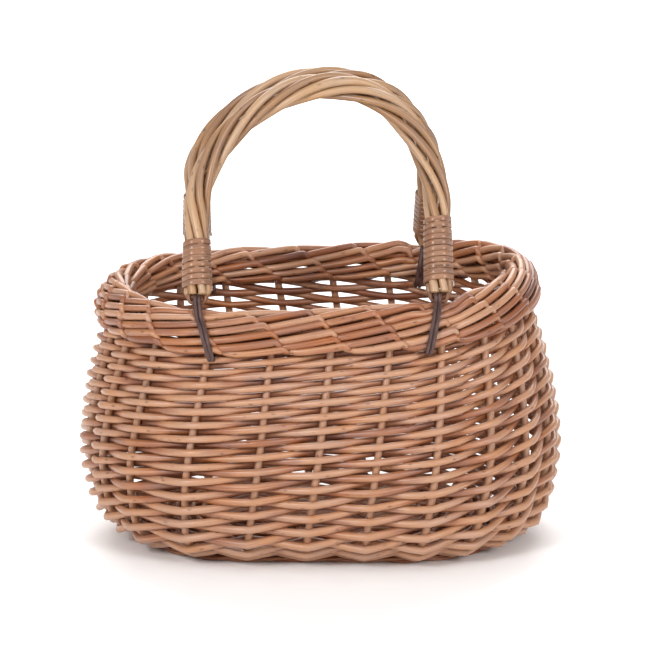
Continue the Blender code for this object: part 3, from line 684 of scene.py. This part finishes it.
def makeBorder():
    rods = [borderRod(start) for start in range(oval["stakes"])]
    half = oval["stakes"] // 2
    outer = [stroke for rod in rods[:half] for stroke in rod] + borderCore()
    bindRods(outer, "borderRodsFirst", "basket", "buff_willow", "border_outer_rod")
    inner = [stroke for rod in rods[half:] for stroke in rod]
    bindRods(inner, "borderRodsSecond", "basket", "buff_willow", "border_inner_rod")
    print("border rods:", oval["stakes"])


# Handles: six rods twisted into an arch, two of them doubled back through an eye at each foot.
# The bundle is narrower in the whipping and wider above it, and the thin eyes get painted shade: they are
# coloured darker, as if in the shadow under the whipping.
# An eye's corner and flat are in shares of its ring
handle = {"halfSpacing": 94 * mm, "archRise": 93.5 * mm, "peaked": 4.4 * mm, "apexDrift": 10 * mm,
          "driftPower": 1.4, "apexAboveLeg": 98 * mm, "apexHalfGap": 10.9 * mm,
          "heights": (8 * mm, 48 * mm, 78 * mm), "rings": (7.5 * mm, 6.6 * mm, 7.3 * mm),
          "rods": 6, "halfTurns": 4, "thickness": 6.3 * mm, "points": 110, "wander": 0.5 * mm,
          "wanderEvery": 22, "uneven": 0.06, "unevenEvery": 30, "tone": (0.25, 0.85),
          "footHeight": 8.15 * mm, "cutHeight": 5.6 * mm, "cutUneven": (0.93, 1.07),
          "eyeRing": 7.5 * mm, "eyeCorner": (0.86, 0.33), "eyeFlat": 0.536, "eyeThin": 0.5,
          "eyePaintedShade": 1.2, "paintedShadeWidths": (4 * mm, 5.6 * mm)}
handleSides = {"front": {"side": -1, "leg": 80.8 * mm, "pivot": (-5.5 * mm, -91.9135 * mm, 213.041 * mm)},
               "back": {"side": 1, "leg": 77.4 * mm, "pivot": (-5.5 * mm, 91.9135 * mm, 216.959 * mm)}}


def handleFrame(word):
    # the handle's own plane: across, up along it, and out of it, from its pivot
    spec = handleSides[word]
    lean = spec["side"] * handle["apexHalfGap"] - spec["pivot"][1]
    height = math.sqrt((spec["leg"] + handle["apexAboveLeg"]) ** 2 - lean ** 2)
    up = Vector((0, lean, height)).normalized()
    across = Vector((1, 0, 0))
    turned = Matrix((across, up, across.cross(up))).transposed().to_4x4()
    return Matrix.Translation(Vector(spec["pivot"])) @ turned


def archPlace(leg, share):
    half, rise, footHeight = handle["halfSpacing"], handle["archRise"], handle["footHeight"]
    arc = math.pi * (half + rise) / 2
    straight = leg - footHeight
    way = share * (2 * straight + arc)
    if way <= straight:
        x, h, out = -half, footHeight + way, (-1, 0)
    elif way >= straight + arc:
        x, h, out = half, leg - (way - straight - arc), (1, 0)
    else:
        angle = math.pi * (1 - (way - straight) / arc)
        x = half * math.cos(angle) - handle["peaked"] * math.sin(2 * angle)
        h = leg + rise * math.sin(angle)
        out = Vector((math.cos(angle) / half, math.sin(angle) / rise)).normalized()
    drift = handle["apexDrift"] * (max(0, h - leg) / rise) ** handle["driftPower"]
    return x + drift, h, out


def cutShort(spot):
    # a rod's cut end, just below the whipping
    return Vector((spot.x, handle["cutHeight"] * random.uniform(*handle["cutUneven"]), spot.z)), 1


def handleStrand(word, index, startCut=False, endCut=False):
    leg = handleSides[word]["leg"]
    wander = waver(handle["points"], handle["wander"], handle["wanderEvery"])
    widen = waver(handle["points"], handle["uneven"], handle["unevenEvery"])
    strand = []
    for k in range(handle["points"]):
        share = k / (handle["points"] - 1)
        x, h, out = archPlace(leg, share)
        # gripped by the whipping, full and free above it
        ring = np.interp(h, handle["heights"], handle["rings"])
        ring += wander[k] * np.interp(h, handle["heights"], (0, 0, 1))
        angle = 2 * math.pi * (index - share) / handle["rods"] - math.pi * handle["halfTurns"] * share
        across = ring * math.cos(angle)
        strand.append((Vector((x + out[0] * across, h + out[1] * across, ring * math.sin(angle))),
                       1 + widen[k]))
    if startCut:
        strand.insert(0, cutShort(strand[0][0]))
    if endCut:
        strand.append(cutShort(strand[-1][0]))
    return strand


def handleEye(footX, way):
    # pared thin where it bends, so that it lies close under the whipping
    ring, top, thin = handle["eyeRing"], handle["footHeight"], handle["eyeThin"]
    side, corner = handle["eyeCorner"]
    half = [(1.0, top), (side, corner * ring), (handle["eyeFlat"], 0.0)]
    marks = [(-share, h) for share, h in half] + half[::-1]
    line = curveThrough([Vector((footX + way * ring * share, h, 0)) for share, h in marks], steps=5)
    return [(spot, thin + (1 - thin) * min(1, max(0, spot.y / top)) ** 2) for spot in line[1:-1]]


def makeHandle(word):
    turned = handleFrame(word)
    half = handle["rods"] // 2
    left = handleStrand(word, 0, endCut=True)[::-1]
    leftBack = handleStrand(word, half, endCut=True)
    right = handleStrand(word, 1, startCut=True)
    rightBack = handleStrand(word, 1 + half, startCut=True)[::-1]
    footX = handle["halfSpacing"]
    bundle = {"doubled_rod_left": left + handleEye(-footX, 1) + leftBack,
              "doubled_rod_right": right + handleEye(footX, -1) + rightBack,
              "rod_1": handleStrand(word, 2, True, True), "rod_2": handleStrand(word, 2 + half, True, True)}
    for label, strand in bundle.items():
        places = [turned @ spot for spot, _ in strand]
        widths = [handle["thickness"] * wide for _, wide in strand]
        # painted shade: where a rod is pared thin at its eye, its tone is lowered, so the eye looks shadowed
        # under the whipping
        tones = random.uniform(*handle["tone"]) - np.interp(widths, handle["paintedShadeWidths"],
                                                            (handle["eyePaintedShade"], 0))
        rod = layRod("handleRod", places, widths, handleWillow, tones, sides=12)
        pieceName = word + "Handle" + label.title().replace("_", "")
        bindRods([rod], pieceName, f"{word}_handle", "handle_willow", f"{word}_handle_{label}")


# Whippings: a shaved strip of willow with worn edges, wound round each foot.
# Its section is in shares of the thickness and the width
whipping = {"width": 4.4 * mm, "thickness": 1.2 * mm, "pitch": 4.65 * mm, "slip": 0.4 * mm,
            "start": {"left": 9.0 * mm, "right": 11.5 * mm}, "pointsPerTurn": 36,
            "topRadius": 10.0 * mm, "footRadius": 11.0 * mm, "corners": 6, "flatness": 0.04,
            "turns": {"front_left": 8, "front_right": 11, "back_left": 9, "back_right": 9},
            "section": [(0.5, -0.36), (0.5, 0.36), (0.3, 0.47), (-0.3, 0.5), (-0.5, 0.42), (-0.5, -0.42),
                        (-0.3, -0.5), (0.3, -0.47)]}


def makeWhipping(word, footWord, sign):
    perTurn = whipping["pointsPerTurn"]
    count = whipping["turns"][f"{word}_{footWord}"] * perTurn
    start = whipping["start"][footWord] + whipping["width"] / 2
    slip = waver(count + 1, whipping["slip"], perTurn)
    spots = []
    for k in range(count + 1):
        angle = 2 * math.pi * k / perTurn
        radius = whipping["footRadius"] + (whipping["topRadius"] - whipping["footRadius"]) * k / count
        radius *= 1 + whipping["flatness"] * math.cos(whipping["corners"] * angle)
        spots.append((radius * math.cos(angle), radius * math.sin(angle),
                      start + whipping["pitch"] * k / perTurn + slip[k]))
    strip = layStrip(f"{word}Whip", np.array(spots))
    # stand it on the foot: its own height runs up the leg
    stood = Matrix.Translation((sign * handle["halfSpacing"], 0, 0)) @ Matrix.Rotation(-math.pi / 2, 4, "X")
    strip.matrix_world = handleFrame(word) @ stood
    bindRods([strip], f"{word}{footWord.title()}Whipping", f"{word}_handle", "split_willow",
             f"{word}_{footWord}_whipping")


def layStrip(name, spots):
    # a flat strip that stays upright along a winding curve
    bpy.ops.object.select_all(action="DESELECT")
    section = layLine("stripSection", [(a * whipping["thickness"], b * whipping["width"], 0)
                                       for a, b in whipping["section"]], closed=True)
    section.data.dimensions = "2D"
    strip = layLine(name, spots)
    strip.data.twist_mode = "Z_UP"
    strip.data.bevel_mode = "OBJECT"
    strip.data.bevel_object = section
    strip.data.use_fill_caps = True
    bpy.ops.object.select_all(action="DESELECT")
    strip.select_set(True)
    bpy.context.view_layer.objects.active = strip
    bpy.ops.object.convert(target="MESH")
    bpy.data.objects.remove(section)
    noteAlongStrip(strip, spots)
    strip.data.materials.clear()
    strip.data.materials.append(whippingWillow)
    bpy.ops.object.mode_set(mode="EDIT")
    bpy.ops.mesh.select_all(action="SELECT")
    bpy.ops.mesh.remove_doubles(threshold=mergeGap)
    bpy.ops.mesh.normals_make_consistent(inside=False)
    bpy.ops.object.mode_set(mode="OBJECT")
    return strip


def noteAlongStrip(strip, spots):
    # the way along the winding comes from the nearest spot of its curve
    flat = np.empty(len(strip.data.vertices) * 3)
    strip.data.vertices.foreach_get("co", flat)
    corners = flat.reshape(-1, 3)
    nearest = np.array([np.argmin(((spots - corner) ** 2).sum(axis=1)) for corner in corners])
    rise = corners[:, 2] - spots[nearest, 2]
    out = np.hypot(corners[:, 0], corners[:, 1]) - np.hypot(spots[nearest, 0], spots[nearest, 1])
    moved = random.uniform(0, patternLength)
    noteOnMesh(strip, (lengthAlong(spots)[nearest] / mm + moved, rise / mm, out / mm),
               np.full(len(corners), 0.5))


# Thongs: a leather lace, doubled, through the wall, round the border and over the handle's eye.
# The shares are of the way round the border, up its outside and down its inside
thong = {"thickness": 3.2 * mm, "sideBySide": 1.62 * mm, "sway": 0.25 * mm, "swayEvery": 16,
         "slotX": {"left": -88.5 * mm, "right": 80 * mm}, "eyeShift": {"left": 0, "right": -1.5 * mm},
         "slotHeight": 175.3 * mm, "slack": 0.9 * mm, "insideSlack": 2.0 * mm, "bend": 5.25 * mm,
         "bends": 4, "outside": (0.03, 0.13, 0.22, 0.31, 0.40), "inside": (0.62, 0.72, 0.82, 0.92, 0.99),
         "throughWall": (0.1, 0.9)}


def makeThong(word, footWord, sign):
    spec = handleSides[word]
    pivotX, pivotY, pivotZ = spec["pivot"]
    footX = pivotX + sign * handle["halfSpacing"] + thong["eyeShift"][footWord]
    slotX, slotHeight = thong["slotX"][footWord], thong["slotHeight"]
    clear = border["thickness"] / 2 + thong["thickness"] / 2 + thong["slack"]

    def roundRim(share, outward):
        return sectionPlace(rimSection, rimSection["length"] * share, outward)

    def laceMark(reach, height):
        share = min(max((height - slotHeight) / (pivotZ - slotHeight), 0), 1)
        trueX = slotX + (footX - slotX) * share - wobble["rimShift"]
        y = spec["side"] * math.sqrt(reach ** 2 - (abs(trueX) - oval["halfRun"]) ** 2)
        return pressUnderFoot(settle(trueX, y, height))

    marks = [laceMark(*roundRim(share, clear)) for share in thong["outside"]]
    for k in range(thong["bends"] + 1):
        angle = math.pi * k / thong["bends"]
        marks.append(Vector((footX, pivotY + spec["side"] * thong["bend"] * math.cos(angle),
                             pivotZ + thong["bend"] * math.sin(angle))))
    marks += [laceMark(*roundRim(share, clear + thong["insideSlack"])) for share in thong["inside"]]
    inner, outer = roundRim(thong["inside"][-1], clear)[0], roundRim(thong["outside"][0], clear)[0]
    marks += [laceMark(inner + (outer - inner) * share, slotHeight) for share in thong["throughWall"]]
    line = curveThrough(marks + [marks[0]], steps=6)[:-1]
    rods = []
    for lane in (-1, 1):
        sway = waver(len(line), thong["sway"], thong["swayEvery"])
        sway[-thong["swayEvery"] // 2:] = sway[0]       # so that the loop closes
        places = [spot + Vector((lane * thong["sideBySide"] + aside, 0, 0))
                  for spot, aside in zip(line, sway)]
        rods.append(layRod("lace", places, thong["thickness"], lace, 0.5, ring=True))
    bindRods(rods, f"{word}{footWord.title()}Thong", "basket", "brown_leather", f"{word}_{footWord}_thong")


makeStakes()
makeWeave()
makeWale()
makeFoot()
makeBase()
makeBorder()
for word in ("front", "back"):
    makeHandle(word)
    for footWord, sign in (("left", -1), ("right", 1)):
        makeWhipping(word, footWord, sign)
        makeThong(word, footWord, sign)
print("handles hung on their thongs")

# Camera as the photograph has it, nearly level and far off
shot = {"distance": 3300 * mm, "elevation": 14.0, "azimuth": -1.8, "lens": 223.0, "sensor": 36.0,
        "seesTo": 50.0, "aim": (8.4 * mm, 0.0, 165.3 * mm)}


def makeCamera():
    turn, rise = math.radians(shot["azimuth"]), math.radians(shot["elevation"])
    back = Vector((math.sin(turn) * math.cos(rise), -math.cos(turn) * math.cos(rise), math.sin(rise)))
    bpy.ops.object.camera_add(location=Vector(shot["aim"]) + back * shot["distance"])
    camera = bpy.context.object
    camera.rotation_euler = (-back).to_track_quat("-Z", "Y").to_euler()
    camera.data.lens = shot["lens"]
    camera.data.sensor_width = shot["sensor"]
    camera.data.clip_end = shot["seesTo"]
    bpy.context.scene.camera = camera


# White paper floor and soft studio light
studio = {"floorSize": 16.0, "paper": "#FFFFFF", "paperRoughness": 0.9, "air": "#FFFFFF", "airLight": 0.52}
lamps = {"leftSoftbox": {"place": (-1.5, -2.1, 1.6), "size": 0.7, "power": 39, "aim": (0, 0, 0.15)},
         "rightSoftbox": {"place": (1.6, -2.3, 1.5), "size": 0.8, "power": 34, "aim": (0, 0, 0.15)},
         "topSoftbox": {"place": (0.2, -1.4, 2.6), "size": 1.2, "power": 9, "aim": (0, 0, 0.15)},
         "floorWash": {"place": (0.0, 3.4, 2.6), "size": 3.6, "power": 240, "aim": (0, 3.4, 0)}}


def makeStudio():
    bpy.ops.mesh.primitive_plane_add(size=studio["floorSize"])
    floor = bpy.context.object
    floor.name = "studioFloor"
    paper, shader = newFinish("paleStudioPaper")
    shader.inputs["Base Color"].default_value = linearColour(studio["paper"])
    shader.inputs["Roughness"].default_value = studio["paperRoughness"]
    floor.data.materials.append(paper)
    for name, spec in lamps.items():
        bpy.ops.object.light_add(type="AREA", location=spec["place"])
        lamp = bpy.context.object
        lamp.name = name
        lamp.data.size = spec["size"]
        lamp.data.energy = spec["power"]
        ray = Vector(spec["aim"]) - Vector(spec["place"])
        lamp.rotation_euler = ray.to_track_quat("-Z", "Y").to_euler()
    world = bpy.data.worlds.new("studioAir")
    bpy.context.scene.world = world
    world.use_nodes = True
    air = world.node_tree.nodes["Background"].inputs
    air["Color"].default_value = linearColour(studio["air"])
    air["Strength"].default_value = studio["airLight"]
    bpy.context.scene.view_settings.view_transform = "Standard"


makeCamera()
makeStudio()
print("camera and studio set")
